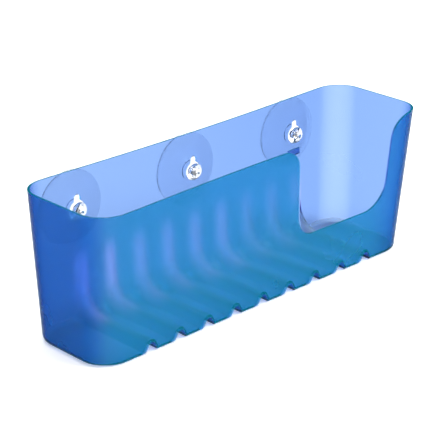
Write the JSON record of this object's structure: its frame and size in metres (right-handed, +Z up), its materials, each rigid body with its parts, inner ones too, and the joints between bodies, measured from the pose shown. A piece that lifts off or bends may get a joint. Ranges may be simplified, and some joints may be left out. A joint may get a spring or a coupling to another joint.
{
  "type": "wall-mounted bathroom caddy",
  "caption": "Long open tray of translucent plastic with a fluted floor and a front wall cut low at one end, hung on a wall by suction cups through keyholes.",
  "frame": {"origin": "middle of the overall length and depth, at the level of the feet", "axes": "+X along the tray towards the end with the low front, -Y out of the front wall, +Y towards the wall that the cups stick to, +Z up"},
  "size_m": [0.35, 0.109, 0.1278],
  "materials": {
    "tray_plastic": "frosted translucent blue, satin outside",
    "clear_pvc": "clear soft PVC, glossy"
  },
  "bodies": {
    "tray": {"basket_tray": "tray_plastic"},
    "cup_left": {"suction_cup_left": "clear_pvc"},
    "cup_middle": {"suction_cup_middle": "clear_pvc"},
    "cup_right": {"suction_cup_right": "clear_pvc"}
  },
  "joints": [
    {"name": "cup_left_slide", "type": "slide", "parent": "tray", "child": "cup_left", "axis": [0, 0, 1], "range_m": [-0.0045, 0.0095]},
    {"name": "cup_middle_slide", "type": "slide", "parent": "tray", "child": "cup_middle", "axis": [0, 0, 1], "range_m": [-0.0045, 0.0095]},
    {"name": "cup_right_slide", "type": "slide", "parent": "tray", "child": "cup_right", "axis": [0, 0, 1], "range_m": [-0.0045, 0.0095]}
  ]
}
